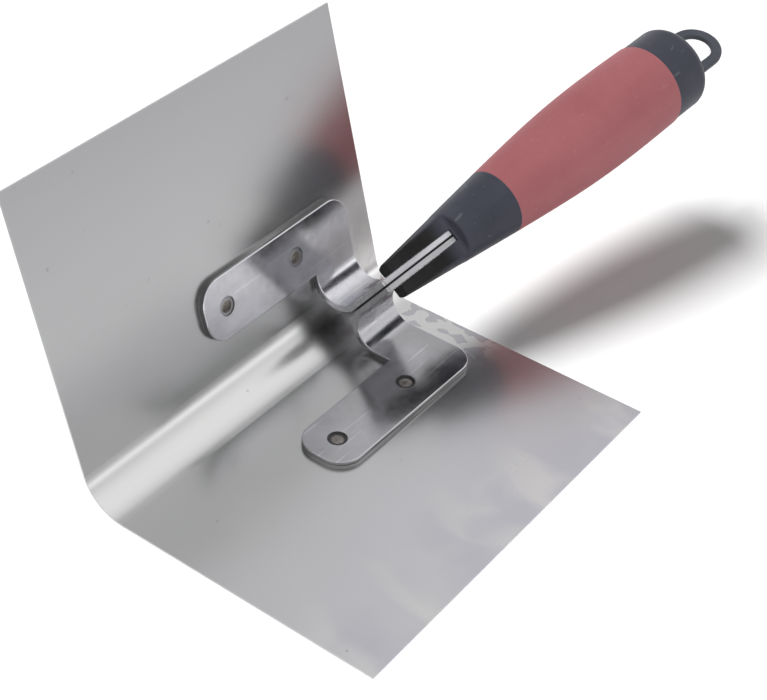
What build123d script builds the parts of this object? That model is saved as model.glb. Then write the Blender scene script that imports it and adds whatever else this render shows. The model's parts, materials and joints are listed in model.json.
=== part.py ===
from build123d import *
import math
import os

# Inside corner trowel.
# The lower wing lies flat with its working face on the ground plane, the other wing stands up.
# +X runs along the corner line from the front end towards the handle, +Z is up.
# The origin is the centre of the flat part of the lower wing's working face.

# Blade: one sheet folded to slightly more than a right angle
blade_length = 127.0        # 5 in
wing_width = 94.0           # from the sharp inner corner to the free edge
wing_angle = 103.9
sheet = 0.6
bend_inner = 13.0
face_centre = 52.0          # from the sharp inner corner to the origin, along the lower wing

# Bracket halves: foot on the wing, curled neck, tang plate in the middle plane
plate = 2.0
plate_round = 0.35
foot_front = 52.2
foot_rear = 116.0
foot_half = 9.65
foot_corner = 7.5
foot_notch_low = 4.0
foot_notch_high = 1.7
neck_front = 98.2
curl_inner = 7.2
tang_offset = 0.6           # the tang's seam lies this far from the middle plane, towards the lower wing
rivet_line_low = 34.5       # from the sharp inner corner, along the lower wing
rivet_line_high = 29.7      # the same on the standing wing, whose bracket sits closer in

# Rivets: flush head in the sheet, low dome inside a ring groove in the foot
rivet_stations_low = {"front": 61.1, "rear": 93.0}
rivet_stations_high = {"front": 61.1, "rear": 91.4}
rivet_r = 2.9
rivet_head_r = 3.6
rivet_recess = 0.1
rivet_dome_r = 2.1
rivet_dome_h = 0.35
rivet_gap = 0.02

# Handle axis: it starts above the corner line, in the middle plane, and rises to the rear
axis_station = 98.8
axis_height = 34.7
axis_rise = 12.0

# Handle, stations along the axis and radii about it
nose_tip = 2.8
nose_tip_r = 5.7
nose_tip_round = 0.8
cheek_end = 25.4
cheek_end_r = 8.3
shoulder = 26.7
shoulder_r = 8.55
grip_start = 47.1
grip_start_r = 10.9
grip_profile = [(63.0, 12.55), (77.8, 13.8), (93.4, 14.45), (108.1, 14.5)]
grip_end = 119.0
grip_end_r = 14.35
grip_end_round = 0.5
stem_r = 8.8
stem_end = 128.0
cap_r = 14.0
cap_end = 134.0
cap_round = 3.9

# Flats along the top and bottom of the nose's two cheeks, each up to a steep wall at the shoulder
flat_tip_h = 2.75
flat_end = 26.3
flat_end_h = 4.55
flat_round = 2.0
wall_lean = 2.3
flat_edge_round = 0.8

# Tang outline, in handle stations and heights
tang_tip = -1.7
tang_tip_h = 3.3
tang_tip_round = 1.0
tang_shoulder = 25.9
tang_shoulder_h = 4.9
tang_shoulder_round = 0.5
tang_stem_half = 3.6
tang_end = 75.0
tang_end_round = 2.0
tang_heel_round = 3.0
slot_gap = 0.05
pin_stations = {"front": 54.5, "rear": 67.5}
pin_r = 1.6
pin_half_length = 8.4

# Hang loop: a flat D let into the cap's end, turned about the handle axis
loop_turn = 27.5
loop_root = 130.0
loop_arc = 144.4
loop_half = 8.7
loop_band = 3.5
loop_web_end = 136.3
loop_thick = 2.0
loop_edge_round = 0.7
loop_gap = 0.02

half_angle = math.radians(wing_angle / 2)
rise = math.radians(axis_rise)
twist = math.radians(loop_turn)
curl_outer = curl_inner + plate
corner = Vector(-blade_length / 2, face_centre, sheet)
along = Vector(1, 0, 0)
middle = Vector(0, -math.cos(half_angle), math.sin(half_angle))
side = along.cross(middle)
axis_dir = along * math.cos(rise) + middle * math.sin(rise)
above_axis = middle * math.cos(rise) - along * math.sin(rise)
across_loop = side * math.cos(twist) + above_axis * math.sin(twist)

section_plane = Plane(origin=corner, x_dir=(0, -1, 0), z_dir=(-1, 0, 0))
low_wing = Plane(origin=corner, x_dir=along, z_dir=(0, 0, 1))
middle_plane = Plane(origin=corner, x_dir=along, z_dir=side)
handle_origin = middle_plane.from_local_coords(Vector(axis_station, axis_height, tang_offset))
handle_plane = Plane(origin=handle_origin, x_dir=axis_dir, z_dir=side)
handle_axis = Axis(handle_origin, axis_dir)
loop_plane = Plane(origin=handle_origin, x_dir=axis_dir, z_dir=axis_dir.cross(across_loop))

os.makedirs("parts", exist_ok=True)


def tang_point(u, h):
    """A handle station and height, as a point of the middle plane."""
    return (
        axis_station + u * math.cos(rise) - h * math.sin(rise),
        axis_height + u * math.sin(rise) + h * math.cos(rise),
    )


def save(piece, node):
    piece.label = node
    export_step(piece, f"parts/{node}.step")


def make_rivet(station, line):
    """A rivet of the lower wing: conical head in the sheet, low dome in the foot."""
    centre = corner + Vector(station, -line, -sheet)
    top = sheet + plate - rivet_recess
    with BuildPart() as rivet:
        with BuildSketch(Plane(origin=centre, x_dir=along, z_dir=(0, -1, 0))):
            with BuildLine():
                dome = TangentArc((0, top), (rivet_dome_r, top - rivet_dome_h), tangent=(1, 0))
                Polyline(
                    dome @ 1,
                    (rivet_r, top - rivet_dome_h),
                    (rivet_r, sheet),
                    (rivet_head_r, 0),
                    (0, 0),
                    dome @ 0,
                )
            make_face()
        revolve(axis=Axis(centre, (0, 0, 1)))
    return rivet.part


def make_foot(line, notch_round, neck_line):
    """The flat arm on the lower wing, widened at the rear to where the neck curls up."""
    with BuildPart() as foot:
        with BuildSketch(low_wing) as outline:
            with BuildLine():
                Polyline(
                    (foot_front, -(line - foot_half)),
                    (foot_front, -(line + foot_half)),
                    (foot_rear, -(line + foot_half)),
                    (foot_rear, -neck_line),
                    (neck_front, -neck_line),
                    (neck_front, -(line - foot_half)),
                    close=True,
                )
            make_face()
            front_corners = outline.vertices().group_by(Axis.X)[0]
            rear_corner = outline.vertices().sort_by_distance((foot_rear, -(line + foot_half)))[0]
            notch = outline.vertices().sort_by_distance((neck_front, -(line - foot_half)))[0]
            fillet([*front_corners, rear_corner], radius=foot_corner)
            fillet(notch, radius=notch_round)
        extrude(amount=plate)
        upper_edges = foot.faces().sort_by(Axis.Z)[-1].edges().sort_by(Axis.Y)
        fillet(upper_edges[:-1], radius=plate_round)
    return foot.part


def make_neck(neck_line):
    """The curl from the wing, away from the corner, into the middle plane."""
    turn = 180 - wing_angle / 2
    with BuildPart() as neck:
        with BuildSketch(section_plane.offset(-neck_front)):
            with BuildLine():
                outside = CenterArc((neck_line, curl_outer), curl_outer, 270, -turn)
                inside = CenterArc((neck_line, curl_outer), curl_inner, 270, -turn)
                Line(outside @ 0, inside @ 0)
                Line(outside @ 1, inside @ 1)
            make_face()
        extrude(amount=neck_front - foot_rear)
        fillet(neck.edges().filter_by(GeomType.CIRCLE), radius=plate_round)
    return neck.part


def make_tang(base, offset):
    """The flat plate from the neck into the handle, with its pin holes."""
    with BuildPart() as tang:
        with BuildSketch(middle_plane.offset(offset)) as outline:
            with BuildLine():
                Polyline(
                    tang_point(tang_tip, -tang_tip_h),
                    tang_point(tang_tip, tang_tip_h),
                    tang_point(tang_shoulder, tang_shoulder_h),
                    tang_point(tang_shoulder, tang_stem_half),
                    tang_point(tang_end, tang_stem_half),
                    tang_point(tang_end, -tang_stem_half),
                    tang_point(tang_shoulder, -tang_stem_half),
                    tang_point(tang_shoulder, -tang_shoulder_h),
                    close=True,
                )
            make_face()
            with BuildLine():
                front_edge = TangentArc((neck_front, base), tang_point(tang_tip, tang_tip_h), tangent=(0, 1))
                Polyline(front_edge @ 1, (foot_rear, axis_height), (foot_rear, base), front_edge @ 0)
            make_face()
            for rough_corner, radius in (
                (tang_point(tang_tip, tang_tip_h), tang_tip_round),
                (tang_point(tang_shoulder, tang_shoulder_h), tang_shoulder_round),
                (tang_point(tang_end, tang_stem_half), tang_end_round),
                (tang_point(tang_end, -tang_stem_half), tang_end_round),
                ((foot_rear, axis_height - tang_tip_h), tang_heel_round),
            ):
                fillet(outline.vertices().sort_by_distance(rough_corner)[0], radius=radius)
        extrude(amount=plate)
        for flat_face in tang.faces().filter_by(Axis(corner, side)):
            upper_edges = flat_face.edges().sort_by(Axis(corner, middle))[1:]
            fillet(upper_edges, radius=plate_round)
        for station in pin_stations.values():
            with BuildSketch(middle_plane.offset(offset)):
                with Locations(tang_point(station, 0)):
                    Circle(pin_r + rivet_gap)
            extrude(amount=plate, mode=Mode.SUBTRACT)
    return tang.part


def make_bracket(line, notch_round, stations, offset):
    """A bracket half on the lower wing, with its tang this far off the middle plane."""
    reach = curl_outer / math.tan(half_angle / 2)
    neck_line = reach + offset / math.sin(half_angle)
    tang_base = reach + offset / math.tan(half_angle)
    with BuildPart() as bracket:
        add(make_foot(line, notch_round, neck_line))
        add(make_neck(neck_line))
        add(make_tang(tang_base, offset))
        for station in stations.values():
            with BuildSketch(low_wing):
                with Locations((station, -line)):
                    Circle(rivet_r + rivet_gap)
            extrude(amount=plate, mode=Mode.SUBTRACT)
    return bracket.part


# Blade
inner_edge = Vector(math.cos(2 * half_angle), math.sin(2 * half_angle)) * wing_width
outward = Vector(-math.sin(2 * half_angle), math.cos(2 * half_angle)) * sheet
sharp_outer = (-sheet / math.tan(half_angle), -sheet)
with BuildPart() as blade:
    with BuildSketch(section_plane) as fold:
        with BuildLine():
            Polyline(
                (wing_width, 0),
                (0, 0),
                (inner_edge.X, inner_edge.Y),
                (inner_edge.X + outward.X, inner_edge.Y + outward.Y),
                sharp_outer,
                (wing_width, -sheet),
                close=True,
            )
        make_face()
        fillet(fold.vertices().sort_by_distance((0, 0))[0], radius=bend_inner)
        fillet(fold.vertices().sort_by_distance(sharp_outer)[0], radius=bend_inner + sheet)
    extrude(amount=-blade_length)
    for station in rivet_stations_low.values():
        add(make_rivet(station, rivet_line_low), mode=Mode.SUBTRACT)
    for station in rivet_stations_high.values():
        mirror(make_rivet(station, rivet_line_high), about=middle_plane, mode=Mode.SUBTRACT)
save(blade.part, "blade")

# Bracket halves: the standing wing's half is the mirror image, on its own rivet line
with BuildPart() as bracket_low:
    add(make_bracket(rivet_line_low, foot_notch_low, rivet_stations_low, tang_offset))
save(bracket_low.part, "bracket_low")

with BuildPart() as bracket_high:
    mirror(
        make_bracket(rivet_line_high, foot_notch_high, rivet_stations_high, -tang_offset),
        about=middle_plane,
    )
save(bracket_high.part, "bracket_high")

# Rivets
for place, station in rivet_stations_low.items():
    with BuildPart() as rivet_low:
        add(make_rivet(station, rivet_line_low))
    save(rivet_low.part, f"rivet_low_{place}")
for place, station in rivet_stations_high.items():
    with BuildPart() as rivet_high:
        mirror(make_rivet(station, rivet_line_high), about=middle_plane)
    save(rivet_high.part, f"rivet_high_{place}")

# Tang pins, across both plates and the handle's core
for place, station in pin_stations.items():
    with BuildPart() as pin:
        with BuildSketch(handle_plane):
            with Locations((station, 0)):
                Circle(pin_r)
        extrude(amount=pin_half_length, both=True)
    save(pin.part, f"tang_pin_{place}")

# Handle core: nose with its two cheeks, and the stem inside the grip and cap
flat_slope = (flat_end_h - flat_tip_h) / (flat_end - nose_tip)
outside_nose = 2 * shoulder_r
from_start = (Align.MIN, Align.CENTER)
with BuildPart() as core:
    with BuildSketch(handle_plane):
        with BuildLine():
            Polyline(
                (nose_tip, 0),
                (nose_tip, nose_tip_r),
                (cheek_end, cheek_end_r),
                (shoulder, shoulder_r),
                (grip_start, grip_start_r),
                (grip_start, stem_r),
                (stem_end, stem_r),
                (stem_end, 0),
                close=True,
            )
        make_face()
    revolve(axis=handle_axis)
    tip_rim = core.edges().filter_by(GeomType.CIRCLE).sort_by(handle_axis)[0]
    fillet(tip_rim, radius=nose_tip_round)
    # Flats above and below the cheeks, and the walls behind them
    with BuildSketch(handle_plane) as flat:
        with BuildLine():
            Polyline(
                (0, flat_tip_h - nose_tip * flat_slope),
                (flat_end, flat_end_h),
                (flat_end + wall_lean, outside_nose),
                (0, outside_nose),
                close=True,
            )
        make_face()
        fillet(flat.vertices().sort_by_distance((flat_end, flat_end_h))[0], radius=flat_round)
        mirror(about=Plane.XZ)
    extrude(amount=outside_nose, both=True, mode=Mode.SUBTRACT)
    # Softened long edges of the flats, where a flat cuts the nose's cone in a hyperbola
    fillet(core.edges().filter_by(GeomType.HYPERBOLA), radius=flat_edge_round)
    # Slot between the cheeks, and the pocket for the tang's stem
    with BuildSketch(handle_plane):
        with Locations((tang_tip, 0)):
            Rectangle(tang_shoulder + slot_gap - tang_tip, 2 * outside_nose, align=from_start)
            Rectangle(tang_end + slot_gap - tang_tip, 2 * (tang_stem_half + slot_gap), align=from_start)
    extrude(amount=plate + slot_gap, both=True, mode=Mode.SUBTRACT)
    for station in pin_stations.values():
        with BuildSketch(handle_plane):
            with Locations((station, 0)):
                Circle(pin_r + rivet_gap)
        extrude(amount=stem_r, both=True, mode=Mode.SUBTRACT)
save(core.part, "handle_core")

# Grip sleeve: soft skin around the stem
with BuildPart() as grip:
    with BuildSketch(handle_plane):
        with BuildLine():
            Spline((grip_start, grip_start_r), *grip_profile, (grip_end, grip_end_r))
            Polyline(
                (grip_end, grip_end_r),
                (grip_end, stem_r),
                (grip_start, stem_r),
                (grip_start, grip_start_r),
            )
        make_face()
    revolve(axis=handle_axis)
    rear_rim = grip.edges().filter_by(GeomType.CIRCLE).group_by(handle_axis)[-1].sort_by(SortBy.RADIUS)[-1]
    fillet(rear_rim, radius=grip_end_round)
save(grip.part, "grip_sleeve")

# End cap over the end of the stem, with a pocket for the hang loop
with BuildPart() as cap:
    with BuildSketch(handle_plane):
        with BuildLine():
            Polyline(
                (grip_end, stem_r),
                (grip_end, cap_r),
                (cap_end, cap_r),
                (cap_end, 0),
                (stem_end, 0),
                (stem_end, stem_r),
                close=True,
            )
        make_face()
    revolve(axis=handle_axis)
    rear_rim = cap.edges().filter_by(GeomType.CIRCLE).group_by(handle_axis)[-1].sort_by(SortBy.RADIUS)[-1]
    fillet(rear_rim, radius=cap_round)
    with BuildSketch(loop_plane):
        with Locations((loop_root, 0)):
            Rectangle(cap_end - loop_root, 2 * (loop_half + loop_gap), align=from_start)
    extrude(amount=loop_thick / 2 + loop_gap, both=True, mode=Mode.SUBTRACT)
save(cap.part, "end_cap")

# Hang loop
with BuildPart() as loop:
    with BuildSketch(loop_plane):
        for start, half, mode in (
            (loop_root, loop_half, Mode.ADD),
            (loop_web_end, loop_half - loop_band, Mode.SUBTRACT),
        ):
            with Locations((start, 0)):
                Rectangle(loop_arc - start, 2 * half, align=from_start, mode=mode)
            with Locations((loop_arc, 0)):
                Circle(half, mode=mode)
    extrude(amount=loop_thick / 2, both=True)
    flat_faces = loop.faces().filter_by(Axis(handle_origin, loop_plane.z_dir))
    fillet(flat_faces.edges(), radius=loop_edge_round)
save(loop.part, "hang_loop")
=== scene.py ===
import json
import math

import bpy
from mathutils import Matrix, Vector


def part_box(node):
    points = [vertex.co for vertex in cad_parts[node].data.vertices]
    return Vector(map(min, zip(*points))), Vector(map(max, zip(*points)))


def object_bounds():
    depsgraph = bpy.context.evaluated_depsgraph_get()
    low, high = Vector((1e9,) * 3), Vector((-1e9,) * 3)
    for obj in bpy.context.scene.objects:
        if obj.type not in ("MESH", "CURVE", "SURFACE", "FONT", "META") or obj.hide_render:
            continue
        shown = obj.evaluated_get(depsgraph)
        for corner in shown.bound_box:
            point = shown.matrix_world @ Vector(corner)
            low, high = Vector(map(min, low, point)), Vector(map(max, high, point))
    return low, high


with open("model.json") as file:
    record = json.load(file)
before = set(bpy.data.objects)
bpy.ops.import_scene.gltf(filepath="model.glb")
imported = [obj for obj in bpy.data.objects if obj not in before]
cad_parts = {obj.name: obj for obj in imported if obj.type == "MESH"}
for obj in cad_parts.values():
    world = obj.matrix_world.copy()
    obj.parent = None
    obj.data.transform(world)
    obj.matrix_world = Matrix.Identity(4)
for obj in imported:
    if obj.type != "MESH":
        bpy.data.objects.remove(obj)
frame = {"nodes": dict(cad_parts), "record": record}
cad_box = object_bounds()
nodes = frame["nodes"]

MM = 0.001

# Camera: from the front left and above, over the open side of the fold
CAMERA_AIM = Vector((39.7, 33.2, 0)) * MM
CAMERA_DISTANCE = 523.4 * MM
CAMERA_AZIMUTH = math.radians(-144.08)
CAMERA_ELEVATION = math.radians(38.86)
CAMERA_ROLL = math.radians(2.05)
CAMERA_LENS = 81.9

# Floor
FLOOR_HALF = 6.0
FLOOR_GAP = 0.05 * MM
FLOOR_VALUE = 0.8
FLOOR_MOTTLE = 0.01

# Lamps
KEY_DIRECTION = Vector((-0.03, 0.65, 1.0))
KEY_STRENGTH = 4.2
KEY_ANGLE = math.radians(24)
HANDLE_KEY_STRENGTH = 2.0
AMBIENT_DIRECTION = Vector((0, 0, 1))
AMBIENT_STRENGTH = 1.0
AMBIENT_ANGLE = math.pi
FILL_DIRECTION = Vector((-0.5, -0.6, 0.6))
FILL_STRENGTH = 1.65
FILL_ANGLE = math.radians(80)

# The dome that polished metal reflects: bright up to the horizon's top, even from the dome's start upwards
# (both as the height of a direction of length one), with one soft patch of light
DOME_VALUE = 0.93
HORIZON_VALUE = 2.1
HORIZON_TOP = 0.06
DOME_START = 0.20
PATCH_DIRECTION = Vector((0.63, -0.35, 0.69)).normalized()
PATCH_WIDTH = math.radians(48)
PATCH_STRENGTH = 0.55

# Noise lies mostly in the first range; stretching the narrower second one gives more contrast
NOISE_RANGE = (0.3, 0.7)
NOISE_MIDDLE = (0.35, 0.65)

# How far a rounded normal still agrees with the true one: on a flat, and at a sharp edge. Then the radius
# within which each piece's edges are marked: a painted highlight on the sheet, painted shade on the plates,
# wear on the rivets and the plastic.
FLAT_AGREEMENT = 0.985
SHARP_AGREEMENT = 0.90
BEVEL_SAMPLES = 6
SHEET_EDGE = 0.3 * MM
RIVET_EDGE = 0.2 * MM
PLATE_EDGE = 0.5 * MM
PLASTIC_EDGE = 0.5 * MM

# Sheet: where each mark begins and where it is full, from the free side, the rear edge or the low wing
# Painted reflection tint: violet towards the low wing's free side
REFLECTION_VIOLET_FROM_SIDE = (75 * MM, 25 * MM)
DARK_CORNER = (55 * MM, 0)
PAINTED_SHADE_TOP_START = 5 * MM
STRIP_FROM_REAR = (14 * MM, 10 * MM)
STRIP_FROM_SIDE = (45 * MM, 52 * MM)
STRIP_HEIGHT = (40 * MM, 26 * MM)
SPOTS_HEIGHT = (14 * MM, 6 * MM)
FILM_FROM_SIDE = (34 * MM, 4 * MM)

# Bracket: heights over the wing, and distance from the joint of the two halves
FOOT_TOP = (2.5 * MM, 2.3 * MM)
NECK_START = (2.6 * MM, 6 * MM)
TANG_START = (8 * MM, 14 * MM)
JOINT_HALF_WIDTH = (0.45 * MM, 0.25 * MM)

# Rivet: from its axis to the ring groove
GROOVE_RADIUS = (1.6 * MM, 2.1 * MM)

# Nose: height of its flats over the axis, and how far ahead of the front pin its black parts begin
FLAT_HEIGHT = (5.4 * MM, 4.8 * MM)
FLAT_BLACK_START = (28 * MM, 36 * MM)
TIP_BLACK_START = (30 * MM, 44 * MM)

# Roughness added where metal is dull
FILM_ROUGHNESS = 0.05
NECK_ROUGHNESS = 0.18
CUT_ROUGHNESS = 0.3

# Colours of the sheet
SHEET_NEUTRAL = (0.487, 0.489, 0.483, 1)
SHEET_REFLECTION_VIOLET = (0.488, 0.481, 0.507, 1)
SHEET_CLOUD = (0.53, 0.53, 0.54, 1)
SHEET_GRAIN = (0.42, 0.42, 0.44, 1)
# Painted shade towards the standing wing's top edge, then a darker tone for the low wing's rear outer corner
SHEET_PAINTED_SHADE_TOP = (0.33, 0.33, 0.342, 1)
SHEET_DARK_CORNER = (0.40, 0.40, 0.415, 1)
SHEET_STRIP = (0.62, 0.62, 0.62, 1)
SHEET_SPOT = (0.37, 0.37, 0.40, 1)
SHEET_SPECK = (0.16, 0.13, 0.13, 1)
# Painted highlight for the sheet's edges
SHEET_EDGE_HIGHLIGHT = (0.78, 0.78, 0.79, 1)
FILM_VIOLET = (0.435, 0.428, 0.475, 1)
FILM_PALE = (0.60, 0.59, 0.575, 1)

# Colours of the bracket: dark and light tones of one steel, a painted-shade copy for the low bracket and the
# pins and a painted-light copy for the high bracket, then its marks
SHADED_PLATE = ((0.32, 0.32, 0.335, 1), (0.45, 0.45, 0.475, 1))
LIT_PLATE = ((0.42, 0.42, 0.445, 1), (0.57, 0.57, 0.605, 1))
PLATE_FINE = (0.36, 0.36, 0.37, 1)
PLATE_SCRATCH = (0.80, 0.80, 0.83, 1)
# Painted shade for the plates' rounded edges
PLATE_EDGE_SHADE = (0.28, 0.28, 0.29, 1)
TANG_DRAWN = (0.26, 0.26, 0.27, 1)
# Painted shade for the joint between the tang's halves
JOINT_SHADE = (0.03, 0.03, 0.03, 1)
# Painted shade for the cut sides, then their pale layers
CUT_SHADE = (0.15, 0.15, 0.15, 1)
CUT_PALE = (0.38, 0.38, 0.38, 1)

# Colours of the rivets: ring groove and dome, then the rim. The low rivets' near-black groove is painted
# shade.
LOW_RIVET = ((0.05, 0.05, 0.05, 1), (0.24, 0.22, 0.21, 1))
HIGH_RIVET = ((0.26, 0.26, 0.27, 1), (0.20, 0.18, 0.16, 1))
RIVET_RIM = (0.45, 0.45, 0.46, 1)
RIVET_SHADE = 0.5

# Colours of the handle: dark and light tones, then its marks
CHARCOAL = ((0.036, 0.038, 0.051, 1), (0.048, 0.050, 0.066, 1))
GREY = ((0.052, 0.055, 0.068, 1), (0.070, 0.073, 0.088, 1))
PLASTIC_RUBBED = (0.12, 0.12, 0.14, 1)
PLASTIC_SCUFF = (0.40, 0.41, 0.43, 1)
NOSE_BLACK = (0.004, 0.012)
RED = ((0.285, 0.089, 0.098, 1), (0.325, 0.108, 0.119, 1))
RED_GRAIN = (0.20, 0.065, 0.07, 1)
RED_SCUFF = (0.60, 0.45, 0.45, 1)


def box_centre(name):
    """The middle of a CAD node's box."""
    low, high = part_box(name)
    return (low + high) / 2


# Directions of the part. A wing's mount points out of its working face, so its inner face looks the
# other way.
mounts = {mount["name"]: mount for mount in frame["record"]["mounts"]}
ALONG = Vector((1, 0, 0))
ACROSS = Vector((0, 1, 0))
LOW_WING_INWARD = -Vector(mounts["lower_face"]["axis"])
HIGH_WING_INWARD = -Vector(mounts["upper_face"]["axis"])
BETWEEN_WINGS = (LOW_WING_INWARD + HIGH_WING_INWARD).normalized()
# Both tang pins have their middle on the handle's axis
HANDLE_POINT = box_centre("tang_pin_front")
HANDLE_AXIS = (box_centre("tang_pin_rear") - HANDLE_POINT).normalized()
ACROSS_HANDLE = ALONG.cross(BETWEEN_WINGS)
ABOVE_HANDLE = ACROSS_HANDLE.cross(HANDLE_AXIS)


# ---------------------------------------------------------------- node helpers
# The colour sockets of a Mix node, which has a set for each data type
MIX_FACTOR = 0
MIX_FIRST = 6
MIX_SECOND = 7
MIX_RESULT = 2


def new_material(name):
    """A material with a lone principled shader; gives the material, its tree and the shader."""
    material = bpy.data.materials.new(name)
    material.use_nodes = True
    tree = material.node_tree
    shader = next(n for n in tree.nodes if n.type == "BSDF_PRINCIPLED")
    return material, tree, shader


def link(tree, value, socket):
    """Feeds a socket from a node's output."""
    tree.links.new(value, socket)


def feed(tree, value, socket):
    """Gives a socket its value: a link from another socket, or a constant."""
    if isinstance(value, bpy.types.NodeSocket):
        link(tree, value, socket)
    else:
        socket.default_value = value


def node(tree, kind, inputs=None, **settings):
    """A new node with these settings and input values; an input that is a socket is linked."""
    made = tree.nodes.new(kind)
    for key, value in settings.items():
        setattr(made, key, value)
    for key, value in (inputs or {}).items():
        feed(tree, value, made.inputs[key])
    return made


def place(tree, scale=(1, 1, 1), turn=(0, 0, 0), shift=(0, 0, 0)):
    """Object coordinates in metres, stretched, turned and moved."""
    coordinates = node(tree, "ShaderNodeTexCoord").outputs["Object"]
    inputs = {"Vector": coordinates, "Scale": scale, "Rotation": turn, "Location": shift}
    return node(tree, "ShaderNodeMapping", inputs).outputs["Vector"]


def noise(tree, vector, scale=1.0, detail=2.0, roughness=0.5, distortion=0.0):
    """Noise with a value around one half, this many waves to a unit of the vector."""
    inputs = {
        "Vector": vector,
        "Scale": scale,
        "Detail": detail,
        "Roughness": roughness,
        "Distortion": distortion,
    }
    return node(tree, "ShaderNodeTexNoise", inputs).outputs["Fac"]


def range_inputs(value, low, high, to_low, to_high):
    """The inputs of a Map Range node."""
    return {"Value": value, "From Min": low, "From Max": high, "To Min": to_low, "To Max": to_high}


def remap(tree, value, low, high, to_low=0.0, to_high=1.0):
    """The value stretched from one range to another, and held inside it."""
    inputs = range_inputs(value, low, high, to_low, to_high)
    return node(tree, "ShaderNodeMapRange", inputs, clamp=True).outputs["Result"]


def smooth_step(tree, value, low, high, to_low=0.0, to_high=1.0):
    """Like remap, with an eased start and end."""
    inputs = range_inputs(value, low, high, to_low, to_high)
    return node(tree, "ShaderNodeMapRange", inputs, interpolation_type="SMOOTHSTEP").outputs["Result"]


def spread(tree, value, low=0.0, high=1.0):
    """A noise value spread over the range from low to high."""
    return remap(tree, value, *NOISE_RANGE, low, high)


def calculate(tree, operation, first, second=0.0):
    """One arithmetic step."""
    return node(tree, "ShaderNodeMath", {0: first, 1: second}, operation=operation).outputs[0]


def combine(tree, *factors):
    """The product of several values."""
    product = factors[0]
    for factor in factors[1:]:
        product = calculate(tree, "MULTIPLY", product, factor)
    return product


def total(tree, *values):
    """The sum of several values."""
    amount = values[0]
    for value in values[1:]:
        amount = calculate(tree, "ADD", amount, value)
    return amount


def mix_colour(tree, factor, first, second):
    """A colour between two."""
    made = node(tree, "ShaderNodeMix", data_type="RGBA")
    for index, value in ((MIX_FACTOR, factor), (MIX_FIRST, first), (MIX_SECOND, second)):
        feed(tree, value, made.inputs[index])
    return made.outputs[MIX_RESULT]


def layer(tree, tone, colour, *factors, amount=1.0):
    """The tone with a colour laid over it, as strongly as the product of the factors and the amount."""
    return mix_colour(tree, combine(tree, *factors, amount), tone, colour)


def bump(tree, height, strength, distance):
    """A normal from a height in metres."""
    inputs = {"Height": height, "Strength": strength, "Distance": distance}
    return node(tree, "ShaderNodeBump", inputs).outputs["Normal"]


def dot_product(tree, first, second):
    """How far one vector reaches along another."""
    inputs = {0: first, 1: second}
    return node(tree, "ShaderNodeVectorMath", inputs, operation="DOT_PRODUCT").outputs["Value"]


def offset_from(tree, origin):
    """The vector from a point of the part to the surface point."""
    point = node(tree, "ShaderNodeTexCoord").outputs["Object"]
    return node(tree, "ShaderNodeVectorMath", {0: point, 1: origin}, operation="SUBTRACT").outputs[0]


def distance_along(tree, direction, origin=(0, 0, 0)):
    """How far the surface point lies from the origin along a direction, in metres."""
    return dot_product(tree, offset_from(tree, origin), direction)


def distance_from_axis(tree, axis, origin):
    """How far the surface point lies from a line through the origin, in metres."""
    inputs = {0: offset_from(tree, origin), 1: axis}
    across = node(tree, "ShaderNodeVectorMath", inputs, operation="CROSS_PRODUCT").outputs[0]
    return node(tree, "ShaderNodeVectorMath", {0: across}, operation="LENGTH").outputs["Value"]


def stretched(tree, *axes):
    """Texture coordinates along three given directions, each with its own scale."""
    inputs = {
        index: calculate(tree, "MULTIPLY", distance_along(tree, direction), scale)
        for index, (direction, scale) in enumerate(axes)
    }
    return node(tree, "ShaderNodeCombineXYZ", inputs).outputs[0]


def turned_from(tree, direction):
    """Nought where the surface faces along the direction, either way; one where it faces square to it."""
    normal = node(tree, "ShaderNodeNewGeometry").outputs["True Normal"]
    along = dot_product(tree, normal, direction)
    return calculate(tree, "SUBTRACT", 1.0, calculate(tree, "ABSOLUTE", along))


# Edges found here carry wear on rivets and plastic, a painted highlight on the sheet and painted shade on the
# plates
def edge_wear_and_painted_light(tree, radius):
    """One where the surface turns sharply within this radius, nought on flats and gentle curves."""
    rounded = node(tree, "ShaderNodeBevel", {"Radius": radius}, samples=BEVEL_SAMPLES).outputs["Normal"]
    plain = node(tree, "ShaderNodeNewGeometry").outputs["Normal"]
    return smooth_step(tree, dot_product(tree, rounded, plain), FLAT_AGREEMENT, SHARP_AGREEMENT)


def finish_shader(tree, shader, tone, rough, normal):
    """Feeds the shader its colour, roughness and normal."""
    link(tree, tone, shader.inputs["Base Color"])
    link(tree, rough, shader.inputs["Roughness"])
    link(tree, normal, shader.inputs["Normal"])


# ---------------------------------------------------------------- sheet
def sheet_base(tree, from_side, grain, cloud):
    """Painted reflection tint: faintly violet on the outer half of the low wing, neutral near the bend;
    clouds and grain over both.
    """
    mottle = noise(tree, place(tree, shift=(3, 1, 2)), scale=14.0)
    violet = total(tree, smooth_step(tree, from_side, *REFLECTION_VIOLET_FROM_SIDE), spread(tree, mottle, -0.3, 0.3))
    tone = mix_colour(tree, violet, SHEET_NEUTRAL, SHEET_REFLECTION_VIOLET)
    tone = layer(tree, tone, SHEET_CLOUD, spread(tree, cloud, high=0.35))
    return layer(tree, tone, SHEET_GRAIN, spread(tree, grain, high=0.05))


def darken_sheet_ends(tree, tone, height, top, from_rear, from_side):
    """Painted shade towards the standing wing's top edge, and darker at the low wing's rear outer corner."""
    tone = layer(tree, tone, SHEET_PAINTED_SHADE_TOP, remap(tree, height, PAINTED_SHADE_TOP_START, top))
    near_rear = smooth_step(tree, from_rear, *DARK_CORNER)
    near_side = smooth_step(tree, from_side, *DARK_CORNER)
    return layer(tree, tone, SHEET_DARK_CORNER, near_rear, near_side, amount=0.8)


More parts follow.
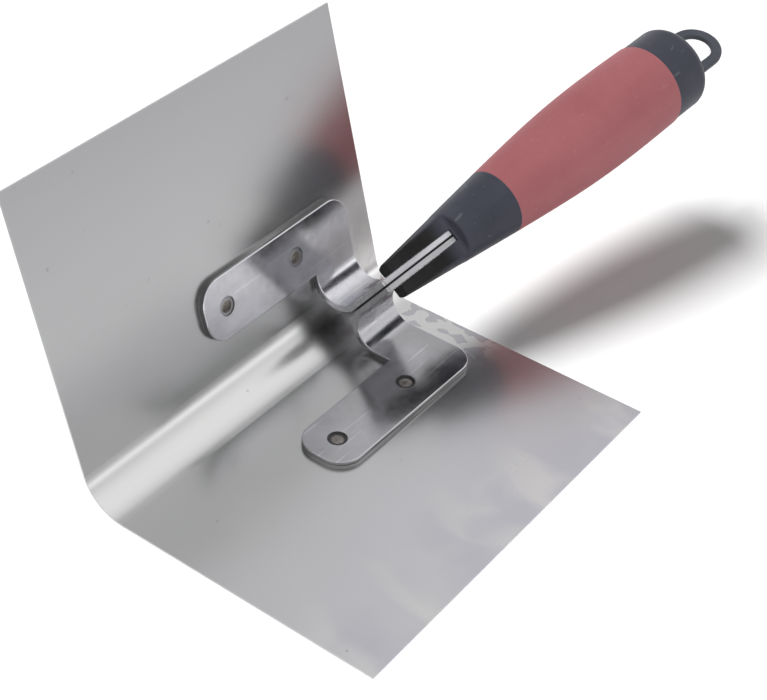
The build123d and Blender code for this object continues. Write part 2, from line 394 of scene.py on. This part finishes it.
def dried_spots(tree, tone, height, from_rear, from_side):
    """A paler strip behind the brackets with dried spots, which are faint on the standing wing."""
    near_rear = smooth_step(tree, from_rear, *STRIP_FROM_REAR)
    near_bend = smooth_step(tree, from_side, *STRIP_FROM_SIDE)
    near_foot = smooth_step(tree, height, *STRIP_HEIGHT)
    strip = combine(tree, near_rear, near_bend, near_foot)
    on_low_wing = smooth_step(tree, height, *SPOTS_HEIGHT, to_low=0.2)
    blobs = noise(tree, place(tree, scale=(230, 150, 190)), detail=1.0, roughness=0.4, distortion=0.5)
    spots = smooth_step(tree, blobs, low=0.54, high=0.56)
    tone = layer(tree, tone, SHEET_STRIP, strip, amount=0.55)
    return layer(tree, tone, SHEET_SPOT, strip, on_low_wing, spots, amount=0.75)


def violet_patches(tree, tone, near_side):
    """Violet patches where the dried film is thick."""
    turned = place(tree, scale=(1, 1.6, 1), turn=(0, 0, 0.5), shift=(0.3, 0.1, 0))
    patches = noise(tree, turned, scale=26.0, roughness=0.45, distortion=0.2)
    violet = smooth_step(tree, patches, low=0.42, high=0.62)
    return layer(tree, tone, FILM_VIOLET, near_side, violet, amount=0.7)


def film_streaks(tree, near_side):
    """Where the dried film has pale streaks."""
    turned = place(tree, scale=(1, 0.5, 1), turn=(0, 0, 0.6))
    streaks = noise(tree, turned, scale=60.0, roughness=0.45, distortion=0.3)
    return combine(tree, near_side, smooth_step(tree, streaks, low=0.46, high=0.70))


def sheet_steel():
    """Satin stainless sheet: faint grain, soft clouds, dried spots near the rear, a film near the side."""
    material, tree, shader = new_material("sheet_steel")
    shader.inputs["Metallic"].default_value = 1.0
    low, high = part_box("blade")
    from_rear = distance_along(tree, -ALONG, high)
    from_side = distance_along(tree, ACROSS, low)
    height = distance_along(tree, LOW_WING_INWARD)
    grain = noise(tree, place(tree, scale=(40, 1400, 1400)), detail=3.0, roughness=0.6)
    cloud = noise(tree, place(tree), scale=22.0, detail=3.0, roughness=0.55, distortion=0.4)
    tone = sheet_base(tree, from_side, grain, cloud)
    tone = darken_sheet_ends(tree, tone, height, high.z, from_rear, from_side)
    tone = dried_spots(tree, tone, height, from_rear, from_side)
    # The dried film near the free side
    near_side = smooth_step(tree, from_side, *FILM_FROM_SIDE)
    tone = violet_patches(tree, tone, near_side)
    film = film_streaks(tree, near_side)
    tone = layer(tree, tone, FILM_PALE, film, amount=0.65)
    # Small dark specks, and a painted highlight along the edges
    dots = noise(tree, place(tree), scale=420.0, detail=1.0, roughness=0.3)
    specks = smooth_step(tree, dots, low=0.79, high=0.81)
    tone = layer(tree, tone, SHEET_SPECK, specks, amount=0.3)
    tone = layer(tree, tone, SHEET_EDGE_HIGHLIGHT, edge_wear_and_painted_light(tree, SHEET_EDGE), amount=0.15)
    satin = spread(tree, cloud, 0.22, 0.26)
    rough = total(tree, satin, spread(tree, grain, -0.01, 0.01), combine(tree, film, FILM_ROUGHNESS))
    finish_shader(tree, shader, tone, rough, bump(tree, grain, strength=0.02, distance=0.003 * MM))
    return material


# ---------------------------------------------------------------- bracket
def tang_marks(tree, tone, lift):
    """Marks drawn lengthwise along the tang, and painted shade in the joint between its two halves."""
    on_tang = smooth_step(tree, lift, *TANG_START)
    lengthwise = stretched(tree, (HANDLE_AXIS, 40), (ABOVE_HANDLE, 900), (ACROSS_HANDLE, 2200))
    drawn = noise(tree, lengthwise, detail=3.0, roughness=0.6)
    tone = layer(tree, tone, TANG_DRAWN, on_tang, remap(tree, drawn, low=0.4, high=0.6, to_high=0.5))
    from_joint = calculate(tree, "ABSOLUTE", distance_along(tree, ACROSS_HANDLE, HANDLE_POINT))
    # Painted shade in the joint between the halves
    return layer(tree, tone, JOINT_SHADE, on_tang, smooth_step(tree, from_joint, *JOINT_HALF_WIDTH))


def cut_side_shade(tree, foot_inward):
    """Painted shade on a plate's cut side, broken into dark and pale layers like those a shear leaves."""
    through_plate = stretched(tree, (foot_inward, 1600), (ALONG, 30), (ACROSS, 30))
    layers = noise(tree, through_plate, detail=1.0, roughness=0.4)
    return mix_colour(tree, smooth_step(tree, layers, low=0.50, high=0.62), CUT_SHADE, CUT_PALE)


def plate_steel(name, dark, light, foot_inward=None, foot_point=None):
    """Polished plate: blotchy and scratched, with painted shade along its rounded edges; a foot's cut sides
    get painted shade and more roughness.
    """
    material, tree, shader = new_material(name)
    shader.inputs["Metallic"].default_value = 1.0
    cloud = noise(tree, place(tree), scale=60.0, detail=4.0, roughness=0.6, distortion=0.6)
    fine = noise(tree, place(tree), scale=420.0, detail=3.0, roughness=0.7)
    scratch = noise(tree, place(tree, scale=(25, 700, 700), turn=(0.4, 0.5, 0.9)))
    tone = mix_colour(tree, spread(tree, cloud), dark, light)
    tone = layer(tree, tone, PLATE_FINE, spread(tree, fine, high=0.35))
    tone = layer(tree, tone, PLATE_SCRATCH, smooth_step(tree, scratch, low=0.63, high=0.70, to_high=0.25))
    rough = total(tree, spread(tree, cloud, 0.12, 0.20), spread(tree, fine, high=0.06))
    edge_shade = edge_wear_and_painted_light(tree, PLATE_EDGE)
    if foot_inward is not None:
        lift = distance_along(tree, foot_inward, foot_point)
        tone = tang_marks(tree, tone, lift)
        # The foot's sides get painted shade in layers like a sheared edge, and no painted edge shade
        faces_sideways = smooth_step(tree, turned_from(tree, foot_inward), low=0.5, high=0.8)
        side = combine(tree, smooth_step(tree, lift, *FOOT_TOP), faces_sideways)
        tone = mix_colour(tree, side, tone, cut_side_shade(tree, foot_inward))
        edge_shade = combine(tree, edge_shade, calculate(tree, "SUBTRACT", 1.0, side))
        # The neck is duller than the foot
        patchy = remap(tree, cloud, *NOISE_MIDDLE, to_low=0.3)
        neck = combine(tree, smooth_step(tree, lift, *NECK_START), patchy)
        rough = total(tree, rough, combine(tree, neck, NECK_ROUGHNESS), combine(tree, side, CUT_ROUGHNESS))
    # Painted shade along the rounded edges
    tone = layer(tree, tone, PLATE_EDGE_SHADE, edge_shade, amount=0.5)
    finish_shader(tree, shader, tone, rough, bump(tree, scratch, strength=0.08, distance=0.05 * MM))
    return material


def rivet_steel(name, axis, groove, dome):
    """A rivet's dull metal: one tone in the ring groove, another on the dome."""
    material, tree, shader = new_material(name + "_steel")
    shader.inputs["Metallic"].default_value = 0.9
    radius = distance_from_axis(tree, axis, box_centre(name))
    cloud = noise(tree, place(tree), scale=900.0, detail=3.0, roughness=0.6)
    shade = tuple(RIVET_SHADE * part for part in dome[:3]) + (1,)
    tone = mix_colour(tree, smooth_step(tree, cloud, *NOISE_MIDDLE), shade, dome)
    # The groove's tone; on the low rivets it is painted shade in the recess
    tone = layer(tree, tone, groove, smooth_step(tree, radius, *GROOVE_RADIUS))
    tone = layer(tree, tone, RIVET_RIM, edge_wear_and_painted_light(tree, RIVET_EDGE), amount=0.4)
    rough = spread(tree, cloud, 0.30, 0.50)
    finish_shader(tree, shader, tone, rough, bump(tree, cloud, strength=0.4, distance=0.1 * MM))
    return material


# ---------------------------------------------------------------- handle
def scuffs(tree):
    """Where there are sparse flecks and short scratches."""
    flecks = noise(tree, place(tree), scale=520.0, detail=1.0, roughness=0.4)
    turned = place(tree, scale=(60, 500, 500), turn=(0.3, 0.6, 0.2))
    scratches = noise(tree, turned, detail=1.0, roughness=0.4)
    marks = [smooth_step(tree, value, low=0.74, high=0.78) for value in (flecks, scratches)]
    return calculate(tree, "MAXIMUM", *marks)


def blacken_nose(tree, tone, cloud):
    """Painted shade in black on the nose's flats, and black round its cheeks towards the tip."""
    lift = calculate(tree, "ABSOLUTE", distance_along(tree, ABOVE_HANDLE, HANDLE_POINT))
    ahead = distance_along(tree, -HANDLE_AXIS, HANDLE_POINT)
    faces_up = smooth_step(tree, turned_from(tree, ABOVE_HANDLE), low=0.05, high=0.01)
    at_height = smooth_step(tree, lift, *FLAT_HEIGHT)
    flat = combine(tree, faces_up, at_height, smooth_step(tree, ahead, *FLAT_BLACK_START))
    tip = smooth_step(tree, ahead, *TIP_BLACK_START)
    # The black tone: painted shade on the flats, and darker towards the tip
    nose_black_tone = remap(tree, cloud, *NOISE_MIDDLE, *NOSE_BLACK)
    return mix_colour(tree, calculate(tree, "MAXIMUM", flat, tip), tone, nose_black_tone)


def hard_plastic(name, dark, light, nose=False):
    """Matt moulded plastic: soft clouds, fine grain, small scuffs, paler edges. The nose's flats get painted
    shade in black, and its tip is black.
    """
    material, tree, shader = new_material(name)
    shader.inputs["Specular IOR Level"].default_value = 0.15
    cloud = noise(tree, place(tree), scale=90.0, detail=3.0, roughness=0.6)
    grain = noise(tree, place(tree), scale=1800.0, roughness=0.6)
    tone = mix_colour(tree, spread(tree, cloud), dark, light)
    if nose:
        tone = blacken_nose(tree, tone, cloud)
    tone = layer(tree, tone, PLASTIC_RUBBED, edge_wear_and_painted_light(tree, PLASTIC_EDGE), amount=0.35)
    tone = layer(tree, tone, PLASTIC_SCUFF, scuffs(tree), amount=0.10)
    rough = spread(tree, cloud, 0.42, 0.52)
    finish_shader(tree, shader, tone, rough, bump(tree, grain, strength=0.25, distance=0.08 * MM))
    return material


def grip_rubber():
    """Muted red soft skin with a fine matt texture, faintly mottled and a little dusty."""
    material, tree, shader = new_material("grip_rubber")
    shader.inputs["Specular IOR Level"].default_value = 0.35
    cloud = noise(tree, place(tree), scale=45.0, detail=4.0, roughness=0.65, distortion=0.3)
    grain = noise(tree, place(tree), scale=1500.0, roughness=0.6)
    tone = mix_colour(tree, spread(tree, cloud), *RED)
    tone = layer(tree, tone, RED_GRAIN, spread(tree, grain, high=0.10))
    tone = layer(tree, tone, RED_SCUFF, scuffs(tree), amount=0.06)
    rough = spread(tree, grain, 0.58, 0.72)
    finish_shader(tree, shader, tone, rough, bump(tree, grain, strength=0.3, distance=0.1 * MM))
    return material


def assign(material, *names):
    """Gives CAD nodes this material."""
    for name in names:
        slots = nodes[name].data.materials
        slots.clear()
        slots.append(material)


# ---------------------------------------------------------------- studio
def grey(value):
    """A neutral colour."""
    return (value, value, value, 1)


def make_floor():
    """A wide matt pale floor just under the part."""
    material, tree, shader = new_material("studio_floor")
    mottle = noise(tree, place(tree), scale=3.0)
    white = mix_colour(tree, mottle, grey(FLOOR_VALUE), grey(FLOOR_VALUE + FLOOR_MOTTLE))
    link(tree, white, shader.inputs["Base Color"])
    shader.inputs["Roughness"].default_value = 0.9
    shader.inputs["Specular IOR Level"].default_value = 0.0
    mesh = bpy.data.meshes.new("studio_floor")
    corners = [(x * FLOOR_HALF, y * FLOOR_HALF, 0) for x, y in ((-1, -1), (1, -1), (1, 1), (-1, 1))]
    mesh.from_pydata(corners, [], [(0, 1, 2, 3)])
    mesh.materials.append(material)
    floor = bpy.data.objects.new("studio_floor", mesh)
    floor.location.z = cad_box[0].z - FLOOR_GAP
    bpy.context.scene.collection.objects.link(floor)


def group_of(name, objects):
    """A collection of these objects, for a light to be linked to."""
    group = bpy.data.collections.new(name)
    for member in objects:
        group.objects.link(member)
    return group


def make_sun(name, towards, strength, angle, receivers=None, blockers=None):
    """A soft distant light that reflections don't see, perhaps for some objects or some shadows only."""
    light = bpy.data.lights.new(name, "SUN")
    light.energy = strength
    light.angle = angle
    sun = bpy.data.objects.new(name, light)
    sun.rotation_mode = "QUATERNION"
    sun.rotation_quaternion = towards.to_track_quat("Z", "Y")
    sun.visible_glossy = False
    bpy.context.scene.collection.objects.link(sun)
    if receivers:
        sun.light_linking.receiver_collection = group_of(name + "_receivers", receivers)
    if blockers:
        sun.light_linking.blocker_collection = group_of(name + "_blockers", blockers)


def make_world():
    """The studio as polished surfaces see it: an even dome, brighter low down, with one patch of light."""
    world = bpy.data.worlds.new("studio")
    world.use_nodes = True
    world.cycles_visibility.diffuse = False
    tree = world.node_tree
    background = next(n for n in tree.nodes if n.type == "BACKGROUND")
    direction = node(tree, "ShaderNodeTexCoord").outputs["Generated"]
    height = node(tree, "ShaderNodeSeparateXYZ", {0: direction}).outputs["Z"]
    dome = remap(tree, height, HORIZON_TOP, DOME_START, HORIZON_VALUE, DOME_VALUE)
    to_patch = dot_product(tree, direction, PATCH_DIRECTION)
    patch = smooth_step(tree, to_patch, math.cos(PATCH_WIDTH), 1.0, to_high=PATCH_STRENGTH)
    link(tree, total(tree, dome, patch), background.inputs["Color"])
    bpy.context.scene.world = world


def make_camera():
    """A camera at the photograph's angle, level but for a small roll."""
    back = Vector((
        math.cos(CAMERA_AZIMUTH) * math.cos(CAMERA_ELEVATION),
        math.sin(CAMERA_AZIMUTH) * math.cos(CAMERA_ELEVATION),
        math.sin(CAMERA_ELEVATION),
    ))
    level_right = Vector((0, 0, 1)).cross(back).normalized()
    level_up = back.cross(level_right)
    right = level_right * math.cos(CAMERA_ROLL) + level_up * math.sin(CAMERA_ROLL)
    up = back.cross(right)
    data = bpy.data.cameras.new("camera")
    data.lens = CAMERA_LENS
    camera = bpy.data.objects.new("camera", data)
    camera.matrix_world = Matrix.Translation(CAMERA_AIM + back * CAMERA_DISTANCE) @ Matrix(
        (right, up, back)
    ).transposed().to_4x4()
    bpy.context.scene.collection.objects.link(camera)
    bpy.context.scene.camera = camera


# ---------------------------------------------------------------- the part's materials
low_foot = (LOW_WING_INWARD, mounts["lower_face"]["pos_m"])
high_foot = (HIGH_WING_INWARD, mounts["upper_face"]["pos_m"])
assign(sheet_steel(), "blade")
# The two brackets are one steel: painted-shade tones for the low one, painted-light tones for the high one
assign(plate_steel("bracket_low_steel", *SHADED_PLATE, *low_foot), "bracket_low")
assign(plate_steel("bracket_high_steel", *LIT_PLATE, *high_foot), "bracket_high")
assign(plate_steel("pin_steel", *SHADED_PLATE), "tang_pin_front", "tang_pin_rear")
for end in ("front", "rear"):
    low_rivet = f"rivet_low_{end}"
    high_rivet = f"rivet_high_{end}"
    assign(rivet_steel(low_rivet, LOW_WING_INWARD, *LOW_RIVET), low_rivet)
    assign(rivet_steel(high_rivet, HIGH_WING_INWARD, *HIGH_RIVET), high_rivet)
assign(hard_plastic("core_plastic", *CHARCOAL, nose=True), "handle_core")
assign(hard_plastic("cap_plastic", *CHARCOAL), "end_cap")
assign(hard_plastic("loop_plastic", *GREY), "hang_loop")
assign(grip_rubber(), "grip_sleeve")

# ---------------------------------------------------------------- the studio
make_floor()
handle = [nodes[name] for name in ("handle_core", "grip_sleeve", "end_cap", "hang_loop")]
meshes = [member for member in bpy.context.scene.objects if member.type == "MESH"]
others = [member for member in meshes if member not in handle]
# The key lights the floor and the metal in full and the handle less, and only the handle casts its shadow
make_sun("key", KEY_DIRECTION, KEY_STRENGTH, KEY_ANGLE, others, handle)
make_sun("handle_key", KEY_DIRECTION, HANDLE_KEY_STRENGTH, KEY_ANGLE, handle, handle)
make_sun("ambient", AMBIENT_DIRECTION, AMBIENT_STRENGTH, AMBIENT_ANGLE)
make_sun("fill", FILL_DIRECTION, FILL_STRENGTH, FILL_ANGLE, receivers=nodes.values())
make_world()
make_camera()
bpy.context.scene.view_settings.view_transform = "Standard"
